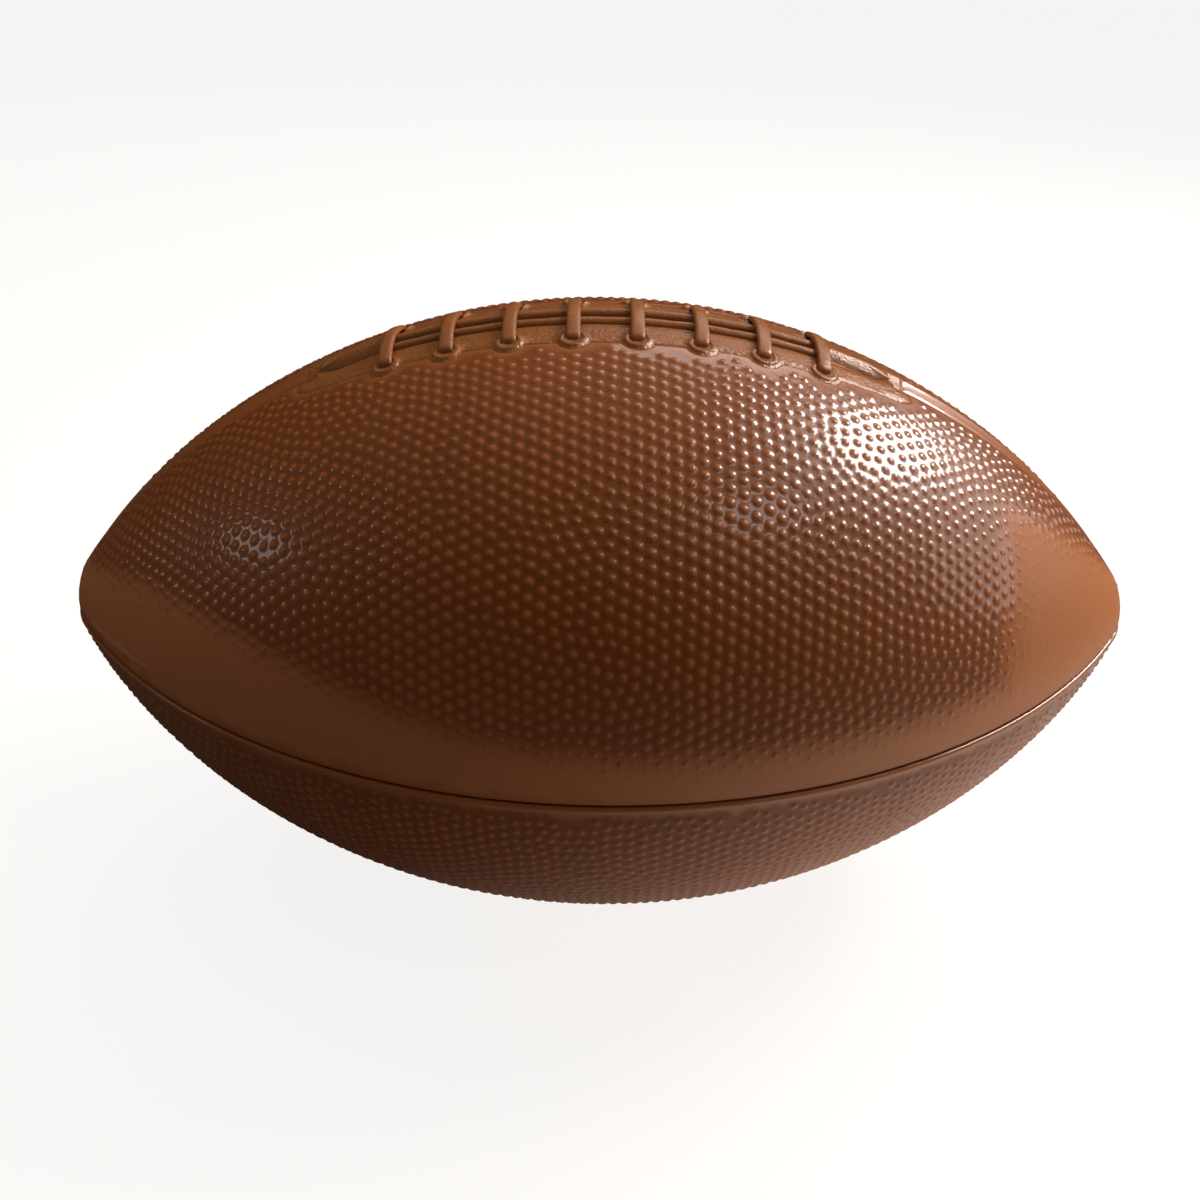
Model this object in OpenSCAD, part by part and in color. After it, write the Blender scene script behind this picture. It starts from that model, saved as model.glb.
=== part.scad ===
// Small moulded american football, lying on its side with the laces up.
// Origin at the ball's centre. X runs from tip to tip, Z is up through the laces, -Y is the front.

/* [Ball] */
// Length from tip to tip
ball_length = 258; // [254:1:266]
// Diameter at the middle, over the panels
ball_d = 147; // [144:0.5:151]
// Radius of the round tips
tip_r = 19.5; // [16:0.5:23]
// Thickness of the cover panels
cover_t = 2.2; // [2.1:0.05:2.8]
// Thickness of the wound carcass
carcass_t = 0.5; // [0.4:0.05:0.8]
// Thickness of the bladder wall
bladder_t = 0.7; // [0.5:0.05:1.2]
// Glue line between one layer and the next
bond_gap = 0.08; // [0.05:0.01:0.12]

/* [Seams] */
// Width of the gap between two panels
seam_gap = 0.5; // [0.3:0.05:0.8]
// Height of the bead on the lower panels' edges
bead_h = 0.4; // [0.2:0.05:0.6]
// Width of the bead on the lower panels' edges
bead_w = 1.3; // [1:0.1:2]
// Radius of the round valley along the top and bottom seams
valley_r = 9; // [7:0.5:11]
// Depth of the valley where the lace slot ends
valley_slot_depth = 1.3; // [1:0.05:1.5]
// Depth of the valley where the tips begin
valley_tip_depth = 0.35; // [0.2:0.05:0.5]

/* [Lace facings] */
// Length of the two facings
facing_length = 134; // [132:1:138]
// Width over both facings at the middle
facing_w = 25; // [24:0.5:28]
// Radius of the facings' corners
facing_corner_r = 4; // [2:0.5:6]
// Length of facing left at each end of the slot
slot_end_band = 3.5; // [2:0.5:6]
// Width of the slot between the facings
slot_w = 8.8; // [8.4:0.1:9.6]
// Spacing of the front and back eyelet rows
eyelet_rows_w = 22.4; // [21:0.1:23]
// Radius of each eyelet hole
eyelet_r = 2; // [1.8:0.05:2.2]
// Width of the raised rim round each eyelet
rim_w = 1.1; // [0.8:0.05:1.3]
// Height of the raised rim round each eyelet
rim_h = 0.5; // [0.3:0.05:0.7]
// Facing left round each rim, which scallops its edge
scallop_margin = 0.5; // [0.3:0.1:1]
// Thickness of the lace pad
pad_t = 0.4; // [0.3:0.05:0.6]

/* [Lacing] */
// Number of crossbars
bar_count = 8; // [6:1:8]
// Length of open slot beyond the middle of each end crossbar
slot_run = 16.25; // [15.5:0.25:20]
// Width of each crossbar
bar_w = 3; // [2.6:0.1:3.3]
// Thickness of each crossbar
bar_t = 1.3; // [1:0.05:1.5]
// Radius of the crossbars' upper edges
bar_edge_r = 0.5; // [0.2:0.05:0.6]
// Inner radius of the bend where a crossbar turns down into its eyelet
bar_bend_r = 0.4; // [0.2:0.05:0.6]
// Swelling of a crossbar where it bends
bend_swell = 0.05; // [0.03:0.01:0.1]
// Distance of each leg from the middle of its eyelet, towards the slot
leg_shift = 0.3; // [0:0.05:0.4]
// Length of the foot that holds each leg under the facing
foot_length = 2.2; // [1.5:0.1:3]
// Width of the foot
foot_w = 2.4; // [1.8:0.1:2.5]
// Diameter of the lengthwise strands
strand_d = 2.6; // [2.4:0.05:2.8]
// Spacing of the two strands
strand_spacing = 5.3; // [5:0.1:5.6]

/* [Valve] */
// Angle of the valve round the ball from the top of the lacing
valve_angle = 125; // [105:1:145]
// Length of the valve core
core_length = 11; // [9:0.5:14]
// Radius of the core's shank
core_r = 1.9; // [1.8:0.05:2.3]
// Radius of the core's head
core_head_r = 2.6; // [2.5:0.05:2.9]
// Thickness of the core's head
core_head_t = 1; // [0.8:0.1:1.4]
// Radius of the needle hole through the core
needle_r = 1.05; // [0.9:0.05:1.2]
// Radius of the vent below the core, through the hub's end
vent_r = 1.5; // [1.3:0.05:1.7]
// Height of the grip rings round the core's shank
core_ring_h = 0.25; // [0.15:0.05:0.3]
// Running clearance of the core in its housing
core_fit = 0.05; // [0.03:0.01:0.1]
// Radius of the valve's stem where it passes through the cover
stem_r = 3.5; // [3.3:0.1:4]
// Radius of the hub inside the bladder
hub_r = 4.4; // [4.2:0.1:6]
// Radius of the flange bonded inside the bladder
flange_r = 11; // [9:0.5:14]
// Thickness of the flange
flange_t = 1; // [0.8:0.1:1.5]
// Depth of the stem's mouth below the cover's surface
stem_recess = 0.3; // [0.2:0.05:0.6]

/* [Hidden] */
$fn = 96;

cover_colour = [0.42, 0.24, 0.14];
lace_colour = [0.5, 0.32, 0.2];
carcass_colour = [0.75, 0.7, 0.6];
bladder_colour = [0.12, 0.12, 0.13];
valve_colour = [0.2, 0.2, 0.2];

// The outline is a belly arc that runs tangent into a round tip at each end.
ball_r = ball_d / 2;
tip_x = ball_length / 2 - tip_r;
belly_r = (tip_x * tip_x + ball_r * ball_r - tip_r * tip_r) / (2 * (ball_r - tip_r));
belly_drop = belly_r - ball_r;
tip_turn = atan2(tip_x, belly_drop);
// One overrun serves every cut.
overrun = ball_r / 8;
span = ball_length + 2 * overrun;

// Depths of the layers' faces below the cover's surface.
carcass_top = cover_t + bond_gap;
bladder_top = carcass_top + carcass_t + bond_gap;
flange_top = bladder_top + bladder_t + bond_gap;
pad_top = cover_t - pad_t;
facing_t = pad_top - bond_gap;

// The slot follows the facings' length, and the crossbars share out the slot between its two runs.
slot_length = facing_length - 2 * slot_end_band;
bar_pitch = (slot_length - 2 * slot_run) / (bar_count - 1);

// The valley's path rises out of the cover towards the tips.
slot_turn = asin(slot_length / 2 / belly_r);
valley_shift = (valley_slot_depth - valley_tip_depth) / (cos(slot_turn) - cos(tip_turn));
valley_lift = valley_r - valley_slot_depth + valley_shift * cos(slot_turn);

// The lacing's crossbars lie at equal turns along the belly arc.
bar_turn = bar_pitch / belly_r * 180 / PI;
eyelet_turn = asin(eyelet_rows_w / 2 / ball_r);
rim_r = eyelet_r + rim_w;
scallop_r = rim_r + scallop_margin;
facing_edge_r = belly_r * ball_r * 2 / facing_w;
strand_r = strand_d / 2;
strand_height = strand_r - pad_top;
strand_fit = bond_gap;
bar_rise = strand_height + strand_r + strand_fit;
foot_t = pad_t - 2 * bond_gap;
notch_w = bar_w + 4 * bond_gap;

// The core sits in its housing with its head in a counterbore.
core_top = ball_r - stem_recess;
core_bottom = core_top - core_length;
hub_length = core_length + flange_t;
ring_count = 3;
ring_pitch = (core_length - core_head_t) / (ring_count + 1);

// Turns the ball's long axis from Z, where profiles are revolved, to X.
module to_long_axis() {
    rotate([0, 90, 0]) children();
}

// Revolves a profile round the X axis, between two turns from the top towards the back.
module arc_round_x(from, to) {
    rotate([0, 90, 0]) rotate([0, 0, 180 - to]) rotate_extrude(angle = to - from) children();
}

// Revolves a profile in the ball's length plane, between two turns from the top towards +X.
module arc_round_y(from, to) {
    rotate([90, 0, 0]) rotate([0, 0, 90 - to]) rotate_extrude(angle = to - from) children();
}

// Puts children on the cover's surface at a turn along the belly arc, with Z out of the ball.
module on_belly(turn) {
    translate([0, 0, -belly_drop]) rotate([0, turn, 0]) translate([0, 0, belly_r]) children();
}

// Radius of the cover across the ball at a turn along the belly arc.
function cross_r(turn) = belly_r - belly_drop / cos(turn);

// Half of the ball's outline, drawn in by a depth.
module outline(depth) {
    intersection() {
        translate([-belly_drop, 0]) circle(r = belly_r - depth);
        polygon([
            [-belly_drop, 0],
            [span, (span + belly_drop) * tan(tip_turn)],
            [span, -(span + belly_drop) * tan(tip_turn)]
        ]);
        translate([0, -span / 2]) square([span, span]);
    }
    for (side = [-1, 1]) {
        intersection() {
            translate([0, side * tip_x]) circle(r = tip_r - depth);
            translate([0, -span / 2]) square([span, span]);
        }
    }
}

// A closed layer of the ball between two depths below the cover's surface.
module layer(top, bottom) {
    to_long_axis() rotate_extrude() difference() {
        outline(top);
        outline(bottom);
    }
}

// The quarter of space that one panel fills: y_side and z_side are -1 or 1.
module panel_quarter(y_side, z_side) {
    translate([-span / 2, 0, 0])
        translate([0, y_side > 0 ? seam_gap / 2 : -span, z_side > 0 ? seam_gap / 2 : -span])
            cube([span, span - seam_gap / 2, span - seam_gap / 2]);
}

// The round tool that cuts the valley along the top seam, clear of the slot unless whole is true.
module valley_cut() {
    translate([0, 0, -belly_drop - valley_shift])
        arc_round_y(-tip_turn - slot_turn, tip_turn + slot_turn)
            translate([belly_r + valley_lift, 0]) circle(r = valley_r);
}

// The valley's two runs beyond the ends of the slot.
module top_valley_cut() {
    difference() {
        valley_cut();
        translate([-slot_length / 2, -span / 2, 0]) cube([slot_length, span, span]);
    }
}

// Plan of the facings' shared outline, with rounded corners.
module facing_outline(margin) {
    corner_y = facing_w / 2 - facing_edge_r + sqrt(pow(facing_edge_r, 2) - pow(facing_length / 2, 2));
    intersection() {
        translate([0, facing_w / 2 - facing_edge_r]) circle(r = facing_edge_r + margin, $fn = 360);
        translate([0, facing_edge_r - facing_w / 2]) circle(r = facing_edge_r + margin, $fn = 360);
        union() {
            square([facing_length + 2 * margin - 2 * facing_corner_r, facing_w * 2], center = true);
            for (x_side = [-1, 1]) {
                for (y_side = [-1, 1]) {
                    translate([
                        x_side * (facing_length / 2 - facing_corner_r),
                        y_side * (corner_y - facing_corner_r)
                    ]) circle(r = facing_corner_r + margin);
                }
                translate([x_side * (facing_length / 2 - facing_corner_r), 0])
                    square([2 * (facing_corner_r + margin), 2 * (corner_y - facing_corner_r)], center = true);
            }
        }
    }
}

// Puts children at one eyelet, with Z out along the eyelet's own axis.
module at_eyelet(index, y_side) {
    turn = (index - (bar_count + 1) / 2) * bar_turn;
    on_belly(turn) translate([0, 0, -cross_r(turn)])
        rotate([-y_side * eyelet_turn, 0, 0]) translate([0, 0, cross_r(turn)]) children();
}

// The field that both facings fill: the outline with a scallop round each eyelet.
module facing_field(margin) {
    linear_extrude(height = ball_r + overrun) facing_outline(margin);
    for (index = [1 : bar_count]) {
        for (y_side = [-1, 1]) {
            at_eyelet(index, y_side) translate([0, 0, -overrun])
                cylinder(r = scallop_r + margin, h = 2 * overrun);
        }
    }
}

// The open slot between the facings, with round ends.
module slot_cut() {
    linear_extrude(height = ball_r + overrun) {
        square([slot_length - slot_w, slot_w], center = true);
        for (side = [-1, 1]) {
            translate([side * (slot_length - slot_w) / 2, 0]) circle(r = slot_w / 2);
        }
    }
}

// Places children along the valve's axis, with Z out of the ball and zero at the ball's centre.
module at_valve() {
    rotate([-valve_angle, 0, 0]) children();
}

// One cover panel before its own cuts.
module plain_panel(y_side, z_side) {
    intersection() {
        layer(0, cover_t);
        panel_quarter(y_side, z_side);
    }
}

// An upper panel: cut away round the facings and along the top seam's valley.
module top_panel(y_side) {
    color(cover_colour) difference() {
        plain_panel(y_side, 1);
        facing_field(bond_gap);
        top_valley_cut();
    }
}

// A lower panel: its edge stands proud along the side seam.
module bottom_panel(y_side) {
    color(cover_colour) difference() {
        union() {
            plain_panel(y_side, -1);
            intersection() {
                layer(-bead_h, cover_t);
                panel_quarter(y_side, -1);
                translate([-span / 2, -span / 2, -seam_gap / 2 - bead_w]) cube([span, span, bead_w]);
            }
        }
        mirror([0, 0, 1]) valley_cut();
        if (y_side > 0) {
            at_valve() cylinder(r = stem_r + bond_gap, h = ball_r + overrun);
        }
    }
}

module top_front_panel() {
    top_panel(-1);
}

module top_back_panel() {
    top_panel(1);
}

module bottom_front_panel() {
    bottom_panel(-1);
}

module bottom_back_panel() {
    bottom_panel(1);
}

// A raised rim round one eyelet, open towards the slot where the crossbar comes in.
module eyelet_rim(index, y_side) {
    at_eyelet(index, y_side) difference() {
        translate([0, 0, -facing_t / 2]) cylinder(r = rim_r, h = facing_t / 2 + rim_h);
        translate([-notch_w / 2, y_side > 0 ? -overrun : 0, -facing_t])
            cube([notch_w, overrun, 2 * overrun]);
    }
}

// A facing: smooth strip with eight eyelets between the slot and the scalloped edge.
module lace_facing(y_side) {
    color(cover_colour) difference() {
        union() {
            intersection() {
                layer(0, facing_t);
                facing_field(0);
                panel_quarter(y_side, 1);
            }
            for (index = [1 : bar_count]) {
                eyelet_rim(index, y_side);
            }
        }
        slot_cut();
        top_valley_cut();
        for (index = [1 : bar_count]) {
            at_eyelet(index, y_side) translate([0, 0, -overrun]) cylinder(r = eyelet_r, h = 2 * overrun);
        }
    }
}

module lace_facing_front() {
    lace_facing(-1);
}

module lace_facing_back() {
    lace_facing(1);
}

// The thin pad under the facings, with a slot for each leg and its foot.
module lace_pad() {
    color(lace_colour) difference() {
        intersection() {
            layer(pad_top, cover_t);
            linear_extrude(height = ball_r + overrun) facing_outline(0);
        }
        for (index = [1 : bar_count]) {
            for (y_side = [-1, 1]) {
                at_eyelet(index, y_side)
                    translate([-notch_w / 2, y_side > 0 ? -foot_length - bar_t : -bar_t, -overrun])
                        cube([notch_w, foot_length + 2 * bar_t, 2 * overrun]);
            }
        }
    }
}

// A round strand along the belly arc, ending under the outer crossbars.
module lace_strand(y_side) {
    end_turn = (bar_count - 1) / 2 * bar_turn;
    color(lace_colour) translate([0, y_side * strand_spacing / 2, -belly_drop]) {
        arc_round_y(-end_turn, end_turn) translate([belly_r + strand_height, 0]) circle(r = strand_r);
        for (side = [-1, 1]) {
            rotate([0, side * end_turn, 0]) translate([0, 0, belly_r + strand_height]) sphere(r = strand_r);
        }
    }
}

module lace_strand_front() {
    lace_strand(-1);
}

module lace_strand_back() {
    lace_strand(1);
}

// Section of a crossbar, swollen by a margin: X is outward from its inner face, Y is along the ball.
module bar_section(margin) {
    outer = bar_t + margin;
    half_w = bar_w / 2 + margin;
    edge_r = bar_edge_r + margin;
    translate([-margin, -half_w]) square([outer - edge_r + margin, 2 * half_w]);
    translate([-margin, edge_r - half_w]) square([outer + margin, 2 * half_w - 2 * edge_r]);
    for (side = [-1, 1]) {
        translate([outer - edge_r, side * (half_w - edge_r)]) circle(r = edge_r);
    }
}

// One crossbar: over both strands, down into its two eyelets, with a foot under each facing.
module lace_crossbar(index) {
    turn = (index - (bar_count + 1) / 2) * bar_turn;
    surface_r = cross_r(turn);
    // The bar's inner face is an arc over the strands' tops that meets the facing short of the eyelets.
    over_y = strand_spacing / 2;
    over_z = sqrt(pow(surface_r + bar_rise, 2) - over_y * over_y);
    down_y = eyelet_rows_w / 2 - eyelet_r + leg_shift;
    down_z = sqrt(surface_r * surface_r - down_y * down_y);
    arc_z = (pow(surface_r, 2) - pow(surface_r + bar_rise, 2)) / (2 * (down_z - over_z));
    arc_r = sqrt(over_y * over_y + pow(over_z - arc_z, 2));
    // The arc ends where the bend can bring the leg down along the eyelet's axis.
    bend_in = leg_shift + bar_bend_r + bar_t / 2;
    arc_turn = eyelet_turn + asin((arc_z * sin(eyelet_turn) - bend_in) / (arc_r - bar_bend_r));
    bend_depth = surface_r - arc_z * cos(eyelet_turn) - (arc_r - bar_bend_r) * cos(arc_turn - eyelet_turn);
    // The bar and its legs run on into the swollen bends, so that each bar is one piece.
    lap = bend_swell * 2;
    lap_turn = asin(lap / arc_r);
    leg_bottom = cover_t - bond_gap;
    color(lace_colour) on_belly(turn) translate([0, 0, -surface_r]) {
        translate([0, 0, arc_z]) arc_round_x(-arc_turn - lap_turn, arc_turn + lap_turn)
            translate([arc_r, 0]) bar_section(0);
        for (side = [0, 1]) {
            mirror([0, side, 0]) {
                translate([0, 0, arc_z]) rotate([-arc_turn, 0, 0]) translate([0, 0, arc_r - bar_bend_r])
                    rotate([arc_turn, 0, 0]) arc_round_x(arc_turn, 90 + eyelet_turn)
                        translate([bar_bend_r, 0]) bar_section(bend_swell);
                rotate([-eyelet_turn, 0, 0]) {
                    translate([0, -leg_shift - bar_t / 2, surface_r - leg_bottom])
                        linear_extrude(height = leg_bottom - bend_depth + lap) rotate(90) mirror([0, 1]) bar_section(0);
                    translate([-foot_w / 2, -leg_shift - foot_length - bar_t / 2, surface_r - leg_bottom + bond_gap / 2])
                        cube([foot_w, foot_length + bar_t / 2, foot_t]);
                }
            }
        }
    }
}

// The wound layer under the panels, pierced for the valve's stem.
module wound_carcass() {
    color(carcass_colour) difference() {
        layer(carcass_top, carcass_top + carcass_t);
        at_valve() cylinder(r = stem_r + bond_gap, h = ball_r + overrun);
    }
}

// The airtight layer inside the carcass, pierced for the valve's stem.
module bladder() {
    color(bladder_colour) difference() {
        layer(bladder_top, bladder_top + bladder_t);
        at_valve() cylinder(r = stem_r + bond_gap, h = ball_r + overrun);
    }
}

// Stem out to the cover, flange inside the bladder and hub round the core, all one moulding.
module valve_housing() {
    color(valve_colour) difference() {
        union() {
            at_valve() translate([0, 0, ball_r - flange_top - flange_t])
                cylinder(r = stem_r, h = core_top - ball_r + flange_top + flange_t);
            intersection() {
                layer(flange_top, flange_top + flange_t);
                at_valve() cylinder(r = flange_r, h = ball_r + overrun);
            }
            at_valve() translate([0, 0, core_top - hub_length])
                cylinder(r = hub_r, h = hub_length - core_top + ball_r - flange_top - flange_t / 2);
        }
        at_valve() {
            translate([0, 0, core_top - hub_length - overrun]) cylinder(r = vent_r, h = span);
            translate([0, 0, core_bottom - core_fit]) cylinder(r = core_r + core_ring_h + core_fit, h = span);
            translate([0, 0, core_top - core_head_t - core_fit]) cylinder(r = core_head_r + core_fit, h = span);
        }
    }
}

// The plug that seals the ball: head, shank with grip rings and the needle's hole through it.
module valve_core() {
    color(valve_colour) at_valve() difference() {
        union() {
            translate([0, 0, core_bottom]) cylinder(r = core_r, h = core_length);
            translate([0, 0, core_top - core_head_t]) cylinder(r = core_head_r, h = core_head_t);
            for (index = [1 : ring_count]) {
                translate([0, 0, core_bottom + index * ring_pitch - core_ring_h])
                    cylinder(r = core_r + core_ring_h, h = 2 * core_ring_h);
            }
        }
        translate([0, 0, core_bottom - overrun]) cylinder(r = needle_r, h = span);
    }
}

top_front_panel();
top_back_panel();
bottom_front_panel();
bottom_back_panel();
lace_facing_front();
lace_facing_back();
lace_pad();
lace_strand_front();
lace_strand_back();
for (i = [1 : bar_count]) {
    lace_crossbar(i);
}
wound_carcass();
bladder();
valve_housing();
valve_core();
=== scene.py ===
import math

import bmesh
import bpy
import numpy as np
from mathutils import Matrix, Vector, kdtree
from mathutils.geometry import delaunay_2d_cdt


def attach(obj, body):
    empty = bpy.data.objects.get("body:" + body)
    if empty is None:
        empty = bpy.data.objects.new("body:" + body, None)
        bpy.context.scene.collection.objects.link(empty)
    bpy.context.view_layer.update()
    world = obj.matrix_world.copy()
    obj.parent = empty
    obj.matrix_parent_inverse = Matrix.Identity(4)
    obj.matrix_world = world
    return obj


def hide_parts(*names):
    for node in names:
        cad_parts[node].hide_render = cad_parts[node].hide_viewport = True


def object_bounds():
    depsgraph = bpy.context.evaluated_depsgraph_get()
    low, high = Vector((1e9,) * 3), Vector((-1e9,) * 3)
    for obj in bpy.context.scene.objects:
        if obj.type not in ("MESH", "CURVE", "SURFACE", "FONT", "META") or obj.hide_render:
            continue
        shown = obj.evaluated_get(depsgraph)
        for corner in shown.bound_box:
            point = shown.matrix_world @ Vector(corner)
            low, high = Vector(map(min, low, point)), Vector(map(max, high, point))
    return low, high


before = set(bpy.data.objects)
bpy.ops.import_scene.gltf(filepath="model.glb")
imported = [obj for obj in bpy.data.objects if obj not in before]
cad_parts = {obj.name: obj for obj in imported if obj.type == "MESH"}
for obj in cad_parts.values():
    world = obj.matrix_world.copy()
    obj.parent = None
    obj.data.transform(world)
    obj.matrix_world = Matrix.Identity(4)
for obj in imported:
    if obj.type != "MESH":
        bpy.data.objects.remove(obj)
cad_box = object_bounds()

mm = 0.001

# Viewpoint: the camera stands about one ball length from the ball's middle, a third of the way up
# from the side seam to the laces, and is tilted a little to the left, as in the photograph.
camera_distance = 282.8 * mm
camera_rise = math.radians(33.71)
camera_turn = math.radians(0.29)
camera_tilt = math.radians(0.84)
camera_aside = 0.13 * mm
camera_lift = 0.10 * mm
picture_w = 36.0
focal_length = 33.74

camera_lens = bpy.data.cameras.new("camera")
camera_lens.sensor_width = picture_w
camera_lens.lens = focal_length
camera_lens.clip_start = 1 * mm
camera = bpy.data.objects.new("camera", camera_lens)
bpy.context.scene.collection.objects.link(camera)
view_turn = Matrix.Rotation(-camera_rise, 3, "X")
view_turn = view_turn @ Matrix.Rotation(-camera_turn, 3, "Z") @ Matrix.Rotation(-camera_tilt, 3, "Y")
camera_place = view_turn @ Vector((-camera_aside, -camera_distance, camera_lift))
camera_facing = (view_turn @ Matrix.Rotation(math.pi / 2, 3, "X")).to_4x4()
camera.matrix_world = Matrix.Translation(camera_place) @ camera_facing
bpy.context.scene.camera = camera

# Bladder: one thin skin of black butyl rubber, moulded round a core and dusted with talc.
# It is sealed inside the wound layer and is seen only when the ball is cut open.


def feed(tree, socket, value):
    """Sets a socket to a value, or links it to the output that is given in place of one."""
    if isinstance(value, bpy.types.NodeSocket):
        tree.links.new(value, socket)
    else:
        socket.default_value = value


def add_node(tree, kind, settings=None, **sockets):
    """Adds a node with its own options, and with values or other nodes' outputs on its sockets."""
    node = tree.nodes.new(kind)
    for name, value in (settings or {}).items():
        setattr(node, name, value)
    for name, value in sockets.items():
        feed(tree, node.inputs[name.replace("_", " ")], value)
    return node


def add_math(tree, operation, *values, kind="ShaderNodeMath"):
    """The result of a math node on values or outputs."""
    node = add_node(tree, kind, {"operation": operation})
    for socket, value in zip(node.inputs, values):
        feed(tree, socket, value)
    return node.outputs["Value"]


def add_mix(tree, share, first, second, numbers=False):
    """The mix of two colours, or of two numbers, by a share."""
    node = add_node(tree, "ShaderNodeMix", {"data_type": "FLOAT" if numbers else "RGBA"}, Factor=share)
    feed(tree, node.inputs[2 if numbers else 6], first)
    feed(tree, node.inputs[3 if numbers else 7], second)
    return node.outputs[0 if numbers else 2]


def add_range(tree, value, from_ends, to_ends=(0.0, 1.0), eased=False):
    """A value carried from one range to another and kept within it."""
    return add_node(
        tree,
        "ShaderNodeMapRange",
        {"interpolation_type": "SMOOTHSTEP" if eased else "LINEAR"},
        Value=value,
        From_Min=from_ends[0],
        From_Max=from_ends[1],
        To_Min=to_ends[0],
        To_Max=to_ends[1],
    ).outputs["Result"]


def new_finish(name, **sockets):
    """A material with one shader, whose plain values are set on the shader's own sockets."""
    finish = bpy.data.materials.new(name)
    finish.use_nodes = True
    shader = finish.node_tree.nodes["Principled BSDF"]
    for socket, value in sockets.items():
        shader.inputs[socket.replace("_", " ")].default_value = value
    return finish, finish.node_tree, shader


def patchy_rubber_group():
    """The uneven colour, gloss and fine grain that moulded rubber has, as one node group."""
    group = bpy.data.node_groups.new("patchy_rubber", "ShaderNodeTree")
    face = group.interface
    for way, kind, names in (
        ("INPUT", "NodeSocketColor", ("Colour", "Patch colour")),
        ("INPUT", "NodeSocketFloat", ("Patch scale", "Low roughness", "High roughness", "Grain scale")),
        ("OUTPUT", "NodeSocketColor", ("Colour",)),
        ("OUTPUT", "NodeSocketFloat", ("Roughness", "Grain")),
    ):
        for name in names:
            face.new_socket(name, in_out=way, socket_type=kind)
    given = {socket.name: socket for socket in add_node(group, "NodeGroupInput").outputs}
    place = add_node(group, "ShaderNodeTexCoord").outputs["Object"]
    patches = add_node(
        group, "ShaderNodeTexNoise", Vector=place, Scale=given["Patch scale"], Detail=4.0, Roughness=0.6
    ).outputs["Fac"]
    share = add_range(group, patches, (0.35, 0.68))
    colour = add_mix(group, share, given["Colour"], given["Patch colour"])
    grain = add_node(
        group, "ShaderNodeTexNoise", Vector=place, Scale=given["Grain scale"], Detail=3.0, Roughness=0.65
    ).outputs["Fac"]
    average = add_math(group, "MULTIPLY_ADD", grain, 0.5, add_math(group, "MULTIPLY", patches, 0.5))
    gloss = add_range(group, average, (0.3, 0.7), (given["Low roughness"], given["High roughness"]))
    add_node(group, "NodeGroupOutput", Colour=colour, Roughness=gloss, Grain=grain)
    return group


patchy_rubber = patchy_rubber_group()


def rubber_finish(name, colour, patch_colour, patch_scale, roughness, grain_scale, grain_depth, **sockets):
    """A moulded rubber material. Roughness is its lowest and highest value over the surface, and a
    scale is in cells to the metre."""
    finish, tree, shader = new_finish(name, **sockets)
    skin = add_node(
        tree,
        "ShaderNodeGroup",
        {"node_tree": patchy_rubber},
        Colour=colour,
        Patch_colour=patch_colour,
        Patch_scale=patch_scale,
        Low_roughness=roughness[0],
        High_roughness=roughness[1],
        Grain_scale=grain_scale,
    )
    grain = skin.outputs["Grain"]
    bump = add_node(tree, "ShaderNodeBump", Height=grain, Distance=grain_depth, Strength=1.0)
    feed(tree, shader.inputs["Base Color"], skin.outputs["Colour"])
    feed(tree, shader.inputs["Roughness"], skin.outputs["Roughness"])
    feed(tree, shader.inputs["Normal"], bump.outputs["Normal"])
    return finish, tree, shader, skin


def dress(node, finish):
    """Gives a CAD node that stays in view its material."""
    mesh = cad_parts[node].data
    mesh.materials.clear()
    mesh.materials.append(finish)


bladder_finish = rubber_finish(
    "talced_butyl",
    colour=(0.018, 0.018, 0.02, 1),
    patch_colour=(0.12, 0.118, 0.112, 1),
    patch_scale=60.0,
    roughness=(0.55, 0.8),
    grain_scale=2500.0,
    grain_depth=0.03 * mm,
)[0]
dress("bladder", bladder_finish)

# Wound layer: nylon thread wound in every direction round the bladder and set in latex,
# so that the ball keeps its shape. The cover is vulcanised on to it.
thread_cream = (0.62, 0.55, 0.42, 1)
latex_tan = (0.4, 0.3, 0.17, 1)
thread_scale = 420.0
thread_height = 0.15 * mm
thread_leans = (24, -24, 68)


def wound_thread_finish():
    finish, tree, shader = new_finish("wound_thread", Roughness=0.7, Specular_IOR_Level=0.3)
    place = add_node(tree, "ShaderNodeTexCoord").outputs["Object"]
    height = 0.0
    for lean in np.radians(thread_leans):
        turned = add_node(tree, "ShaderNodeMapping", Vector=place, Rotation=(0, lean, lean))
        threads = add_node(
            tree,
            "ShaderNodeTexWave",
            Vector=turned.outputs["Vector"],
            Scale=thread_scale,
            Distortion=1.2,
            Detail=2.0,
        )
        height = add_math(tree, "MAXIMUM", height, threads.outputs["Fac"])
    bump = add_node(tree, "ShaderNodeBump", Height=height, Distance=thread_height, Strength=1.0)
    feed(tree, shader.inputs["Base Color"], add_mix(tree, height, latex_tan, thread_cream))
    feed(tree, shader.inputs["Normal"], bump.outputs["Normal"])
    return finish


dress("wound_carcass", wound_thread_finish())

# Cover: four panels of glossy brown rubber, vulcanised on the wound layer in one mould. Round
# pebbles stand on them, their seams are grooves, and the lower panels' edges stand proud as a bead.
ball_length = 258 * mm
ball_d = 147 * mm
tip_r = 19.5 * mm
cover_t = 2.2 * mm
half_gap = 0.25 * mm
seam_narrowing_r = 12 * mm
tip_hole_r = 0.15 * mm
station_step = 1.1 * mm

ball_r = ball_d / 2
tip_x = ball_length / 2 - tip_r
belly_r = (tip_x**2 + ball_r**2 - tip_r**2) / (2 * (ball_r - tip_r))
belly_drop = belly_r - ball_r
tip_turn = math.atan2(tip_x, belly_drop)
end_turn = math.acos(tip_hole_r / tip_r)


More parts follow.
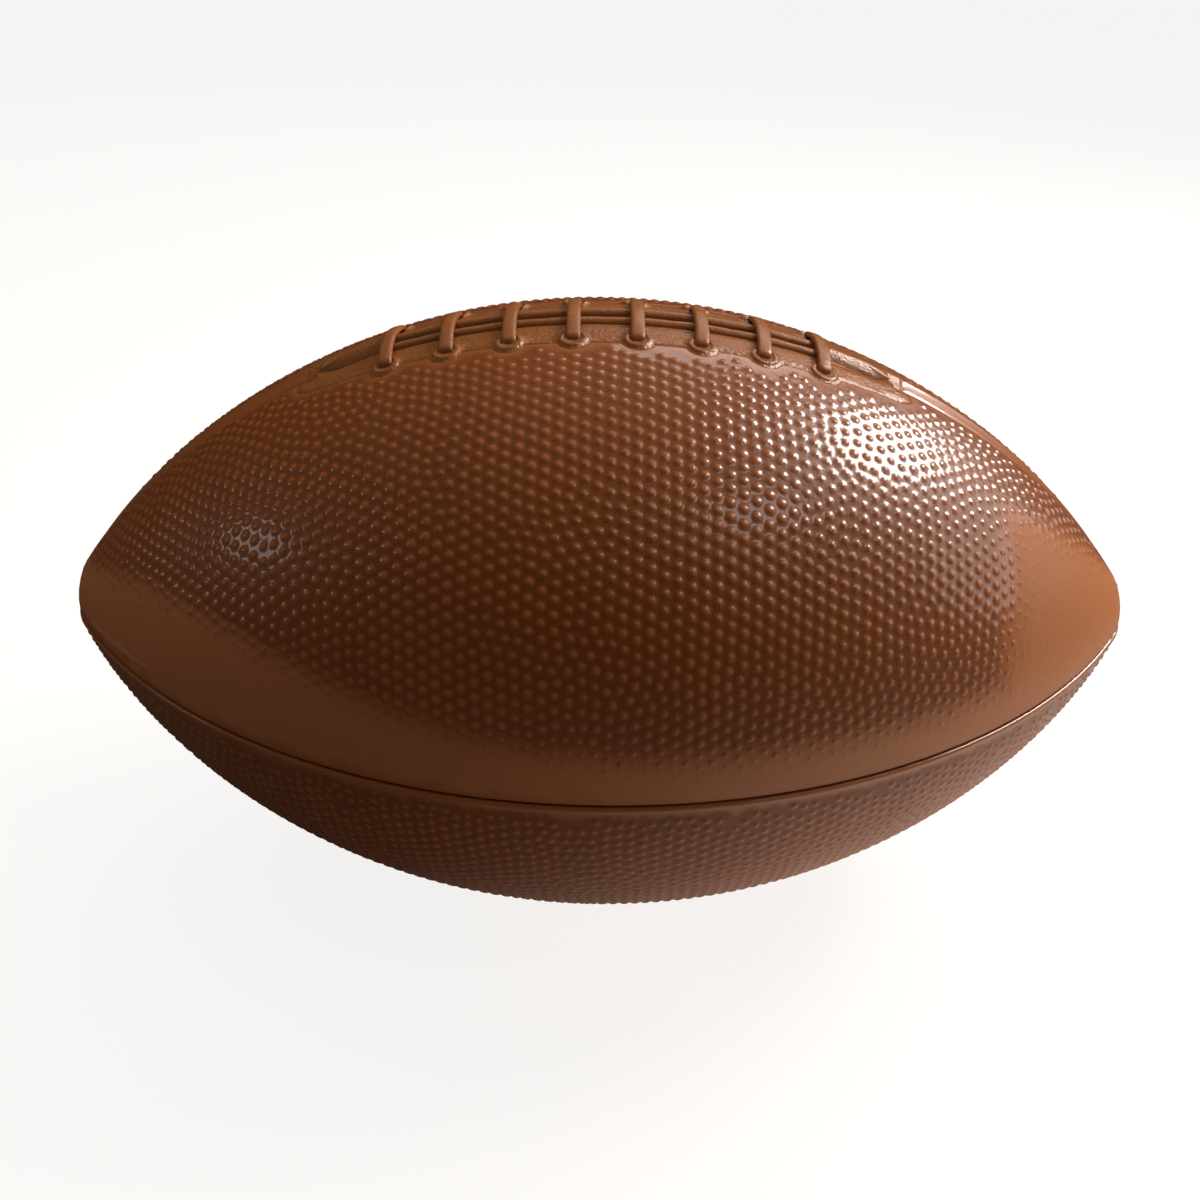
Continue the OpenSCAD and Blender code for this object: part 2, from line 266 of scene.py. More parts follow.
def outline(turn, height=0.0):
    """Place along the ball and distance from its long axis, at a turn of its surface from mid-length."""
    size = np.abs(turn)
    on_tip = size > tip_turn
    curve_r = np.where(on_tip, tip_r, belly_r) + height
    along = np.sign(turn) * (np.where(on_tip, tip_x, 0.0) + curve_r * np.sin(size))
    return along, curve_r * np.cos(size) - np.where(on_tip, 0.0, belly_drop)


def on_ball(spots, sides):
    """Points in space of spots given as turn, angle from the side seam and height."""
    turn, angle, height = spots.T
    along, r = outline(turn, height)
    return np.column_stack([along, sides[0] * r * np.cos(angle), sides[1] * r * np.sin(angle)])


def spots_of(points, height=0.0):
    """The turn and angle of points near the ball's surface, with a height given to them."""
    along, across, up = points.T
    r = np.hypot(across, up)
    size = np.arctan2(np.abs(along), r + belly_drop)
    size = np.where(size > tip_turn, np.arctan2(np.abs(along) - tip_x, r), size)
    angle = np.arctan2(np.abs(up), np.abs(across))
    return np.column_stack([np.sign(along) * size, angle, np.broadcast_to(height, r.shape)])


# The flat map keeps angles, so that a round pebble is round on it: it is the ball's outline
# unrolled with each step along it divided by the distance from the long axis.
map_steps = 8001
map_turns = np.linspace(-end_turn, end_turn, map_steps)
map_curve_r = np.where(np.abs(map_turns) > tip_turn, tip_r, belly_r)
map_r = outline(map_turns)[1]
turn_step = map_turns[1] - map_turns[0]


def running_sum(rate):
    steps = (rate[1:] + rate[:-1]) / 2 * turn_step
    total = np.concatenate([[0.0], np.cumsum(steps)])
    return total - total[len(total) // 2]


map_along = running_sum(map_curve_r / map_r)
map_arc = running_sum(map_curve_r)


def stations(first, last, step=station_step):
    """Turns at even steps of length along the outline."""
    arc_first, arc_last = np.interp([first, last], map_turns, map_arc)
    count = max(2, int(round(abs(arc_last - arc_first) / step)) + 1)
    return np.interp(np.linspace(arc_first, arc_last, count), map_arc, map_turns)


def beside_seam(turns, inset, height, top):
    """A line beside a seam, at a distance from the seam's middle plane, drawn in at the tips."""
    r = outline(turns)[1]
    narrow = np.minimum(1, r / seam_narrowing_r)
    lean = np.arcsin(narrow * inset / r)
    return np.column_stack([turns, math.pi / 2 - lean if top else lean, narrow * height])


valley_r = 9 * mm
valley_slot_depth = 1.3 * mm
valley_tip_depth = 0.35 * mm
valley_least_depth = 0.12 * mm
facing_length = 134 * mm
slot_end_band = 3.5 * mm
slot_length = facing_length - 2 * slot_end_band
slot_turn = math.asin(slot_length / 2 / belly_r)
valley_shift = (valley_slot_depth - valley_tip_depth) / (math.cos(slot_turn) - math.cos(tip_turn))
valley_edge_sink = 0.15 * mm


def valley_depth(turns):
    depth = valley_slot_depth - valley_shift * (math.cos(slot_turn) - np.cos(turns))
    return np.maximum(depth, valley_least_depth)


def valley_half_w(turns):
    depth = valley_depth(turns)
    return np.sqrt(2 * valley_r * depth - depth**2)


def valley_height(turns, inset):
    """Height of the round valley along the top and bottom seams, at a distance from the seam."""
    floor = valley_r - valley_depth(turns)
    inset = np.minimum(inset, valley_half_w(turns))
    return floor - np.sqrt(valley_r**2 - inset**2)


def valley_lines(turns):
    """The cut edge and the lines beside a top or bottom seam, which round its lip."""
    half_w = valley_half_w(turns)
    lines = []
    for inset, sink in (
        (half_gap, valley_edge_sink),
        (half_gap + 0.2 * mm, 0.0),
        (half_w / 2, 0.0),
        (half_w - 0.35 * mm, 0.0),
        (half_w + 0.1 * mm, 0.0),
        (half_w + 0.6 * mm, 0.0),
    ):
        lines.append(beside_seam(turns, inset, valley_height(turns, inset) - sink, True))
    return lines


# A profile gives distances from an edge and the heights there, both in millimetres.
upper_edge_profile = ((0.0, -0.5), (0.12, -0.14), (0.4, 0.0))
lower_edge_profile = ((0.0, -0.25), (0.06, 0.16), (0.26, 0.36), (0.7, 0.4), (1.2, 0.26), (1.7, 0.0))


def side_lines(turns, profile):
    """The cut edge and the lines beside the side seam, from the edge's profile."""
    return [beside_seam(turns, half_gap + inset * mm, height * mm, False) for inset, height in profile]


# Facings' outline on the cover: a long lens with round corners and a scallop round each eyelet.
facing_w = 25 * mm
facing_corner_r = 4 * mm
facing_corner_turn = 80
bond_gap = 0.08 * mm
slot_run = 16.25 * mm
bar_count = 8
bar_turn = (slot_length - 2 * slot_run) / (bar_count - 1) / belly_r
eyelet_rows_w = 22.4 * mm
eyelet_turn = math.asin(eyelet_rows_w / 2 / ball_r)
eyelet_r = 2 * mm
scallop_r = 3.6 * mm
facing_edge_r = belly_r * ball_r * 2 / facing_w


def bar_frame(index):
    """The frame of a crossbar: its Z runs out of the ball from a point on the long axis."""
    turn = (index - (bar_count + 1) / 2) * bar_turn
    surface_r = belly_r - belly_drop / math.cos(turn)
    place = Matrix.Translation((0, 0, -belly_drop)) @ Matrix.Rotation(turn, 4, "Y")
    return place @ Matrix.Translation((0, 0, belly_r - surface_r)), surface_r


def eyelet_frame(index, y_side):
    """The frame of an eyelet on the cover's surface, with its Z out along the eyelet."""
    place, surface_r = bar_frame(index)
    return place @ Matrix.Rotation(-y_side * eyelet_turn, 4, "X") @ Matrix.Translation((0, 0, surface_r))


def plan_spots(plan, height=0.0):
    """Spots on the upper cover that lie straight under points given in plan."""
    along, across = plan.T
    turn = np.arcsin(along / belly_r)
    r = outline(turn)[1]
    return np.column_stack([turn, np.arccos(across / r), np.broadcast_to(height, r.shape)])


def facing_plan(margin, seam_inset=half_gap, step=0.25 * mm):
    """Half of the facings' outline in plan, from the seam at the +X end to the seam at the -X end."""
    straight = facing_length / 2 - facing_corner_r
    corner_y = facing_w / 2 - facing_edge_r + math.sqrt(facing_edge_r**2 - (facing_length / 2) ** 2)
    corner = np.radians(np.linspace(0, facing_corner_turn, 9))
    corner_x = straight + (facing_corner_r + margin) * np.cos(corner)
    corner_top = corner_y - facing_corner_r + (facing_corner_r + margin) * np.sin(corner)
    end_count = int((corner_y - facing_corner_r - seam_inset) / (4 * step)) + 1
    end_y = np.linspace(seam_inset, corner_y - facing_corner_r, end_count, endpoint=False)
    end_x = np.full(end_count, facing_length / 2 + margin)
    side_x = np.linspace(straight, -straight, int(2 * straight / step) + 1)
    side_y = facing_w / 2 - facing_edge_r + np.sqrt((facing_edge_r + margin) ** 2 - side_x**2)
    for index in range(1, bar_count + 1):
        x, y, _ = eyelet_frame(index, 1).translation
        reach = (scallop_r + margin) ** 2 - (side_x - x) ** 2
        side_y = np.where(reach > 0, np.maximum(side_y, y + np.sqrt(np.maximum(reach, 0))), side_y)
    half_x = np.concatenate([end_x, corner_x])
    half_y = np.concatenate([end_y, corner_top])
    all_x = np.concatenate([half_x, side_x, -half_x[::-1]])
    return np.column_stack([all_x, np.concatenate([half_y, side_y, half_y[::-1]])])


def facing_line(margin, sink, seam_inset=half_gap):
    """A line along the facings' outline, sunk a little where it is an edge."""
    plan = facing_plan(margin, seam_inset)
    spots = plan_spots(plan)
    in_slot = np.abs(plan[:, 0]) < slot_length / 2
    spots[:, 2] = np.where(in_slot, 0.0, valley_height(spots[:, 0], plan[:, 1])) - sink
    return spots


def nearest(points):
    """A search tree over points."""
    tree = kdtree.KDTree(len(points))
    for count, point in enumerate(points):
        tree.insert(point, count)
    tree.balance()
    return tree


def clear_of(spots, lines, distance):
    """Tells which spots lie at least a distance from every line's points."""
    tree = nearest(on_ball(np.concatenate(lines), (1, 1)))
    reach = np.array([tree.find(place)[2] for place in on_ball(spots, (1, 1))])
    return reach >= distance


same_spot = 1e-7
weld_distance = 0.004 * mm


def flat_faces(edge, holes, lines, domes, loose):
    """Joins a skin's spots with triangles on the flat map. Returns all spots, the triangles of the
    skin between its holes and domes, and the outline of each dome that came out whole."""
    parts = [edge, *holes, *lines, *domes, loose]
    starts = np.concatenate([[0], np.cumsum([len(part) for part in parts])])
    spots = np.concatenate(parts)
    flat = np.column_stack([np.interp(spots[:, 0], map_turns, map_along), spots[:, 1]])
    owner = np.full(len(spots), -1)
    first_dome = 1 + len(holes) + len(lines)
    ties = []
    for number, part in enumerate(parts[1:-1], start=1):
        first, last = int(starts[number]), int(starts[number + 1])
        ties += [(count, count + 1) for count in range(first, last - 1)]
        if number <= len(holes):
            ties.append((last - 1, first))
        if number <= len(holes) or number >= first_dome:
            owner[first:last] = number
    border = list(range(len(edge)))
    joined = delaunay_2d_cdt([Vector(point) for point in flat], ties, [border], 1, same_spot, False)
    if len(joined[0]) != len(spots):
        raise ValueError(f"the skin's lines cross: {len(joined[0])} points from {len(spots)}")
    triangles = np.array(joined[2])
    owners = owner[triangles]
    inside = (owners[:, 0] >= 0) & (owners[:, 0] == owners[:, 1]) & (owners[:, 1] == owners[:, 2])
    filled = np.bincount(owners[inside, 0], minlength=len(parts))
    whole = [n for n in range(first_dome, len(parts) - 1) if filled[n] == len(parts[n]) - 2]
    taken_out = np.zeros(len(parts), bool)
    taken_out[whole] = True
    taken_out[1 : 1 + len(holes)] = True
    kept = triangles[~(inside & taken_out[np.maximum(owners[:, 0], 0)])]
    outlines = {n - first_dome: list(range(int(starts[n]), int(starts[n + 1]))) for n in whole}
    return spots, kept.tolist(), outlines


def add_skin(mesh, spots, faces, sides, outward):
    """Adds a skin's points and faces to a bmesh, facing out of the ball or into it."""
    used = {number for face in faces for number in face}
    points = on_ball(spots, sides)
    verts = [mesh.verts.new(point) if number in used else None for number, point in enumerate(points)]
    flip = (sides[0] * sides[1] > 0) == outward
    return verts, [mesh.faces.new([verts[n] for n in (reversed(face) if flip else face)]) for face in faces]


def close_skin(mesh, edge, holes, loose, thickness, sides):
    """Gives a skin its underside, and turns its cut edges down to it."""
    rims = [side for side in mesh.edges if side.is_boundary]
    level = np.array([0, 0, -thickness])
    under = [part * (1, 1, 0) + level for part in (edge, *holes, loose)]
    spots, faces, _ = flat_faces(under[0], under[1:-1], [], [], under[-1])
    verts, _ = add_skin(mesh, spots, faces, sides, False)
    turned = bmesh.ops.extrude_edge_only(mesh, edges=rims)["geom"]
    walls = [item for item in turned if isinstance(item, bmesh.types.BMVert)]
    lowered = spots_of(np.array([vert.co for vert in walls]), -thickness)
    for vert, place in zip(walls, on_ball(lowered, sides)):
        vert.co = place
    bmesh.ops.remove_doubles(mesh, verts=walls + [vert for vert in verts if vert], dist=weld_distance)


def finish_piece(name, mesh, finish, body, slot, *nodes):
    """Makes a piece from a bmesh, in place of its CAD nodes."""
    data = bpy.data.meshes.new(name)
    mesh.to_mesh(data)
    mesh.free()
    data.shade_smooth()
    data.materials.append(finish)
    piece = bpy.data.objects.new(name, data)
    bpy.context.scene.collection.objects.link(piece)
    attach(piece, body)
    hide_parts(*nodes)
    return piece


pebble_pitch = 2.95 * mm
pebble_r = 1.4 * mm
pebble_gap = 0.12 * mm
pebble_sides = 10
pebble_steps = ((0.42 * mm, 0.07 * mm, 0.5), (0.33 * mm, 0.155 * mm, 1.0))
pebble_crown_rise = 0.08 * mm
pebble_least_r = 1.05 * mm
pebble_seam_room = 1.4 * mm
pebble_line_room = 0.3 * mm
pebble_shake = 0.22 * pebble_pitch
settle_reach = 1.18 * pebble_pitch
settle_push = 0.35
settle_rounds = 25
settle_neighbours = 6
rng = np.random.default_rng(11)


def pebble_field():
    """Pebble places on one panel and the room of each. They start as rows round the ball, and are
    shaken and then settled till they lie evenly."""
    spots = []
    for turn in stations(-end_turn, end_turn, pebble_pitch * math.sqrt(3) / 2)[1:-1]:
        count = max(1, int(round(outline(turn)[1] * math.pi / 2 / pebble_pitch)))
        angles = (np.arange(count) + rng.random()) / count * math.pi / 2
        spots.append(np.column_stack([np.full(count, turn), angles, np.zeros(count)]))
    points = on_ball(np.concatenate(spots), (1, 1))
    points += rng.normal(0, pebble_shake, points.shape)
    for _ in range(settle_rounds):
        points[:, 1] = np.maximum(points[:, 1], pebble_seam_room / 3)
        points[:, 2] = np.maximum(points[:, 2], pebble_seam_room)
        points = on_ball(spots_of(points), (1, 1))
        low = points[points[:, 2] < pebble_seam_room + 2 * pebble_pitch]
        back = points[points[:, 1] < 2 * pebble_pitch]
        crowd = np.concatenate([points, low * (1, 1, -1) + (0, 0, 2 * pebble_seam_room), back * (1, -1, 1)])
        tree = nearest(crowd)
        others = [tree.find_n(point, settle_neighbours + 1)[1:] for point in points]
        near = np.array([[number for _, number, _ in found] for found in others])
        apart = points[:, None] - crowd[near]
        distance = np.linalg.norm(apart, axis=2, keepdims=True) + 1e-9
        push = np.maximum(0, settle_reach - distance) * apart / distance
        points = points + settle_push * push.sum(axis=1)
    spots = spots_of(points)
    points = on_ball(spots, (1, 1))
    tree = nearest(points)
    room = np.array([tree.find_n(point, 2)[1][2] for point in points])
    return spots, np.minimum(pebble_r, (room - pebble_gap) / 2)


pebble_spots, pebble_room = pebble_field()


# Smooth parts of the cover, where the mould has no pebbles: a band along the upper panels' side
# seam, widest towards the left tip, and the right tip's lower half.
band_w = 6 * mm
band_bulge = 14.7 * mm
band_bulge_x = -89 * mm
band_bulge_reach = (36 * mm, 52 * mm)
bare_tip_x = 93 * mm
bare_tip_angle = math.radians(49)
glossy_edge_w = 1.6 * mm
fade_length = 8 * mm
tip_fade_length = 12 * mm
# Each stage has its least and greatest share of a whole pebble, and its pebbles' width and rise.
fade_stages = (
    (0.06, 0.25, 0.55, 0.2),
    (0.25, 0.5, 0.7, 0.45),
    (0.5, 0.8, 0.85, 0.75),
    (0.8, 1.1, 1.0, 1.0),
)


def pebbled_share(spots, mirrored):
    """How full the pebbles are at each spot of an upper panel: not at all in its smooth parts, and
    more and more beside them."""
    along, r = outline(spots[:, 0])
    if mirrored:
        along = -along
    reach = np.where(along < band_bulge_x, band_bulge_reach[0], band_bulge_reach[1])
    band = band_w + band_bulge * np.exp(-(((along - band_bulge_x) / reach) ** 2))
    above_band = spots[:, 1] * r - band
    off_tip = np.maximum(bare_tip_x - along, (spots[:, 1] - bare_tip_angle) * r)
    return np.clip(np.minimum(above_band / fade_length, off_tip / tip_fade_length), 0, 1)


flash_x = (-121 * mm, -100 * mm)
flash_above_seam = (3 * mm, 4.9 * mm)
flash_step = 0.8 * mm
flash_end_steps = 4
flash_profile = ((-0.22, 0.0), (0.0, 0.16), (0.22, 0.0))
valve_angle = math.radians(35)
valve_sides = 36
valve_ring_r = 6.2 * mm
valve_edge_sink = 0.4 * mm
valve_profile = ((0.15, -0.1), (0.5, 0.0), (1.8, 0.0), (2.2, 0.12), (2.6, 0.0))
stem_hole_r = 3.58 * mm


def round_valve(radius, height):
    """A ring round the valve's hole in the lower back panel."""
    around = np.radians(np.arange(valve_sides) * 360 / valve_sides)
    flat = np.column_stack([radius * np.cos(around), radius * np.sin(around)])
    depth = np.sqrt(ball_r**2 - radius**2)
    across = depth * math.cos(valve_angle) - flat[:, 1] * math.sin(valve_angle)
    up = depth * math.sin(valve_angle) + flat[:, 1] * math.cos(valve_angle)
    return spots_of(np.column_stack([flat[:, 0], across, up]), height)


def pebble_outline(spot, radius, phase):
    """The round outline of one pebble on the cover."""
    around = phase + np.arange(pebble_sides) * 2 * math.pi / pebble_sides
    r = outline(spot[0])[1]
    along = np.interp(spot[0], map_turns, map_along) + radius / r * np.cos(around)
    turn = np.interp(along, map_along, map_turns)
    return np.column_stack([turn, spot[1] + radius / r * np.sin(around), np.full(pebble_sides, spot[2])])


def in_facings(spots):
    """Tells which spots of an upper panel lie inside the facings' outline."""
    along, r = outline(spots[:, 0])
    corner = facing_plan(0)
    half = len(corner) // 2
    reach = np.interp(np.abs(along), corner[:half, 0][::-1], corner[:half, 1][::-1])
    return (np.abs(along) < facing_length / 2) & (r * np.cos(spots[:, 1]) < reach)


def flash_lines():
    """A thin line of mould flash on the front panel's smooth band, near the left tip."""
    first, last = np.interp(flash_x, outline(map_turns)[0], map_turns)
    turns = stations(first, last, flash_step)
    above = np.linspace(*flash_above_seam, len(turns))
    from_end = np.minimum(np.arange(len(turns)), np.arange(len(turns))[::-1])
    ends = np.minimum(1, from_end / flash_end_steps)
    lines = []
    for aside, height in flash_profile:
        angle = (above + aside * mm) / outline(turns)[1]
        lines.append(np.column_stack([turns, angle, height * mm * ends]))
    return lines


facing_edge_sink = 0.12 * mm
facing_end_room = 1.2 * mm
facing_lip = (0.25 * mm, 0.7 * mm)


def upper_panel_lines(mirrored):
    """The cut edge of an upper panel, the lines that shape its lips, and how pebbled each pebble is."""
    edge, *lines = side_lines(stations(-end_turn, end_turn), upper_edge_profile)
    facing_end = math.asin((facing_length / 2 + bond_gap) / belly_r)
    line_start = math.asin((facing_length / 2 + facing_end_room) / belly_r)
    right_edge = valley_lines(stations(end_turn, facing_end))[0]
    left_edge = valley_lines(stations(-facing_end, -end_turn))[0]
    for run in ((line_start, end_turn), (-end_turn, -line_start)):
        lines += valley_lines(stations(*run))[1:]
    edge = np.concatenate([edge, right_edge, facing_line(bond_gap, facing_edge_sink)[1:-1], left_edge])
    lines += [facing_line(margin, 0.0, 2 * half_gap) for margin in facing_lip]
    if not mirrored:
        lines += flash_lines()
    share = pebbled_share(pebble_spots, mirrored)
    return edge, [], lines, np.where(in_facings(pebble_spots), -1.0, share)


def lower_panel_lines(with_valve):
    """The cut edge, valve hole and lip lines of a lower panel, and how pebbled each pebble is."""
    turns = stations(-end_turn, end_turn)
    edge, *lines = side_lines(turns, lower_edge_profile)
    bottom_edge, *bottom_lines = valley_lines(turns[::-1])
    edge = np.concatenate([edge, bottom_edge])
    lines += bottom_lines
    holes = []
    share = np.ones(len(pebble_spots))
    if with_valve:
        holes = [round_valve(stem_hole_r, -valve_edge_sink)]
        for out, height in valve_profile:
            lines.append(round_valve(stem_hole_r + out * mm, height * mm))
        along, r = outline(pebble_spots[:, 0])
        valve_off = np.hypot(along, (pebble_spots[:, 1] - valve_angle) * r)
        share[valve_off < valve_ring_r] = -1.0
    return edge, holes, lines, share


pebble_least_size = 0.92
flat_spot_room = 0.7 * mm
inner_spot_room = 3 * mm
inner_spot_step = 9


def cover_panel(name, y_side, z_side, finish):
    """One panel: the outer skin with its pebbles raised, the turned edges and the inner side."""
    sides = (y_side, z_side)
    if z_side > 0:
        edge, holes, lines, share = upper_panel_lines(y_side > 0)
    else:
        edge, holes, lines, share = lower_panel_lines(y_side > 0)
    bounds = [edge, *holes, *lines]
    off_seam = outline(pebble_spots[:, 0])[1] * np.cos(pebble_spots[:, 1])
    share = np.where(off_seam < valley_half_w(pebble_spots[:, 0]), -1.0, share)
    raised = (share > fade_stages[0][0]) & (pebble_room > pebble_least_r)
    raised &= clear_of(pebble_spots, bounds, pebble_room + pebble_line_room)
    lifted = np.flatnonzero(raised)
    sizes = pebble_room * rng.uniform(pebble_least_size, 1.0, len(pebble_spots))
    for low, high, width, _ in fade_stages:
        sizes[(share >= low) & (share < high)] *= width
    phases = rng.random(len(pebble_spots)) * math.pi
    domes = [pebble_outline(pebble_spots[n], sizes[n], phases[n]) for n in lifted]
    flat = ~raised & (share >= 0) & clear_of(pebble_spots, bounds, flat_spot_room)
    spots, triangles, outlines = flat_faces(edge, holes, lines, domes, pebble_spots[flat])
    mesh = bmesh.new()
    relief = mesh.verts.layers.float.new("relief")
    verts, made = add_skin(mesh, spots, triangles + list(outlines.values()), sides, True)
    above_seam = spots[:, 1] * outline(spots[:, 0])[1]
    in_band = (above_seam > glossy_edge_w) & (above_seam < band_w) & (z_side > 0)
    smooth = np.where(in_band, 1.0, 0.5)
    first_dome = sum(len(part) for part in bounds)
    smooth[first_dome:] = 1 - np.concatenate([np.repeat(share[lifted], pebble_sides), share[flat]]) ** 2
    for vert, value in zip(verts, smooth):
        if vert:
            vert[relief] = 2 * value
    pebbles = made[len(triangles) :]
    mesh.normal_update()
    shares = share[lifted][list(outlines)]
    for low, high, width, rise in fade_stages:
        group = [pebble for pebble, much in zip(pebbles, shares) if low <= much < high]
        for inset, step, level in pebble_steps:
            bmesh.ops.inset_individual(mesh, faces=group, thickness=inset * width, depth=step * rise)
            for pebble in group:
                for vert in pebble.verts:
                    vert[relief] = max(level, 2 - 2 * rise**2)
        for vert in bmesh.ops.poke(mesh, faces=group, offset=pebble_crown_rise * rise)["verts"]:
            vert[relief] = max(1, 2 - 2 * rise**2)
    inner = pebble_spots[::inner_spot_step]
    inner = inner[clear_of(inner, bounds, inner_spot_room) & (share[::inner_spot_step] >= 0)]
    close_skin(mesh, edge, holes, inner, cover_t, sides)
    return finish_piece(f"pebbled_{name}", mesh, finish, "ball", "cover", name)


# Painted shade: a darker brown for the grooves between the pebbles, and how much of it is mixed in there.
groove_painted_shade = (0.15, 0.036, 0.006, 1)
groove_shade_share = 0.7
# A lighter brown where the cover is smooth: a painted sheen over the rubber's own brown.
smooth_sheen_brown = (0.35, 0.118, 0.034, 1)
matte_roughness = (0.52, 0.2)
matte_speck_grain = (0.52, 0.66)
coat_weight = (0.7, 0.06)
coat_roughness = (0.1, 0.32)


def cover_finish():
    """Glossy brown rubber with painted shade between the pebbles, where it is darker, and matt with small
    glossy specks where it is smooth, where a lighter brown paints a sheen. Relief is 0 in the grooves, 1 on
    crowns and 2 where it's smooth."""
    finish, tree, shader, skin = rubber_finish(
        "pebbled_rubber",
        colour=(0.3, 0.09, 0.021, 1),
        patch_colour=(0.265, 0.076, 0.016, 1),
        patch_scale=55.0,
        roughness=(0.3, 0.46),
        grain_scale=1900.0,
        grain_depth=0.07 * mm,
        Specular_IOR_Level=0.4,
    )
    relief = add_node(tree, "ShaderNodeAttribute", {"attribute_name": "relief"}).outputs["Fac"]
    # Painted shade between the pebbles: low relief mixes in the dark groove brown, and the crowns keep the
    # rubber's own colour.
    raised = add_range(tree, relief, (0.0, 1.0), (1 - groove_shade_share, 1.0))
    matte = add_range(tree, relief, (1.0, 2.0))
    shaded_pebble_colour = add_mix(tree, raised, groove_painted_shade, skin.outputs["Colour"])
    specks = add_range(tree, skin.outputs["Grain"], matte_speck_grain, matte_roughness)
    roughness = add_mix(tree, matte, skin.outputs["Roughness"], specks, numbers=True)
    feed(tree, shader.inputs["Base Color"], add_mix(tree, matte, shaded_pebble_colour, smooth_sheen_brown))
    feed(tree, shader.inputs["Roughness"], roughness)
    feed(tree, shader.inputs["Coat Weight"], add_range(tree, relief, (1.0, 1.7), coat_weight))
    feed(tree, shader.inputs["Coat Roughness"], add_range(tree, relief, (1.3, 2.0), coat_roughness))
    return finish


pebbled_rubber = cover_finish()
for y_name, y_side in (("front", -1), ("back", 1)):
    for z_name, z_side in (("top", 1), ("bottom", -1)):
        cover_panel(f"{z_name}_{y_name}_panel", y_side, z_side, pebbled_rubber)

# Facings: two smooth strips of the cover's rubber on each side of the slot. Each has eight eyelets
# with a raised C-shaped rim round them, open towards the slot, and is bonded in the panels' opening.
pad_t = 0.4 * mm
facing_t = cover_t - pad_t - bond_gap
slot_w = 8.8 * mm
slot_step = 0.05 * mm
eyelet_sides = 40
rim_profile = ((2.15, 0.5), (2.45, 0.56), (2.8, 0.5), (3.05, 0.2), (3.3, 0.0))
rim_foot = 0.32 * mm
rim_gap_half_w = 1.66 * mm
rim_end_length = 0.3 * mm


def slot_plan(margin, x_end):
    """Half of the slot's outline in plan, from its -X end to its +X end, kept within x_end."""
    reach = slot_w / 2 + margin
    middle = (slot_length - slot_w) / 2
    around = np.radians(np.linspace(0, 90, 19))
    arc = np.column_stack([middle + reach * np.cos(around), reach * np.sin(around)])
    arc = arc[(arc[:, 0] <= x_end) & (arc[:, 1] > 2 * half_gap)]
    straight_x = np.arange(middle - 1 * mm, -middle, -1 * mm)
    straight = np.column_stack([straight_x, np.full(len(straight_x), reach)])
    return np.concatenate([arc, straight, arc[::-1] * (-1, 1)])[::-1]


def eyelet_ring(index, radius, height):
    """A ring round one eyelet, raised where its rim is, which stops short of the crossbar."""
    around = np.arange(eyelet_sides) * 2 * math.pi / eyelet_sides
    aside = radius * np.cos(around)
    outward = radius * np.sin(around)
    place = np.array(eyelet_frame(index, 1))
    flat = np.column_stack([aside, outward, np.zeros(eyelet_sides), np.ones(eyelet_sides)])
    points = (flat @ place.T)[:, :3]
    off_gap = np.clip((np.abs(aside) - rim_gap_half_w) / rim_end_length + 0.5, 0, 1)
    return spots_of(points, np.where(outward > 0, 1, off_gap) * height)


slot_edge_sink = 0.15 * mm
slot_lip = 0.2 * mm
step_line_start = 2.4 * mm
step_line_past = 0.4 * mm
step_line_spacing = 0.35 * mm
valley_line_shares = (0.3, 0.6, 0.9, 1.03)
valley_line_spacing = 0.6 * mm
valley_line_short = 0.4 * mm
facing_grid_x = np.arange(-66, 66, 1.7) * mm
facing_grid_y = np.arange(1.3, 12, 1.7) * mm
facing_grid_room = 0.6 * mm
valley_grid_room = 0.5 * mm


def valley_spots(along, across):
    """Spots on the valley's surface under points given in plan."""
    row = plan_spots(np.column_stack([along, np.broadcast_to(across, along.shape)]))
    row[:, 2] = valley_height(row[:, 0], across)
    return row


def facing_end_lines(side, inner_x, outer_x):
    """The lines at one end of a facing: the step at the slot's end, and the valley past it."""
    valley_top = valley_half_w(slot_turn)
    last = valley_top + step_line_past
    across = np.arange(step_line_start, last, step_line_spacing)
    lines = [plan_spots(np.column_stack([np.full(len(across), side * inner_x), across]))]
    across = np.arange(3 * half_gap, last, step_line_spacing)
    lines.append(valley_spots(np.full(len(across), side * outer_x), across))
    first = outer_x + valley_line_spacing
    along = side * np.arange(first, facing_length / 2 - valley_line_short, valley_line_spacing)
    return lines + [valley_spots(along, share * valley_top) for share in valley_line_shares]


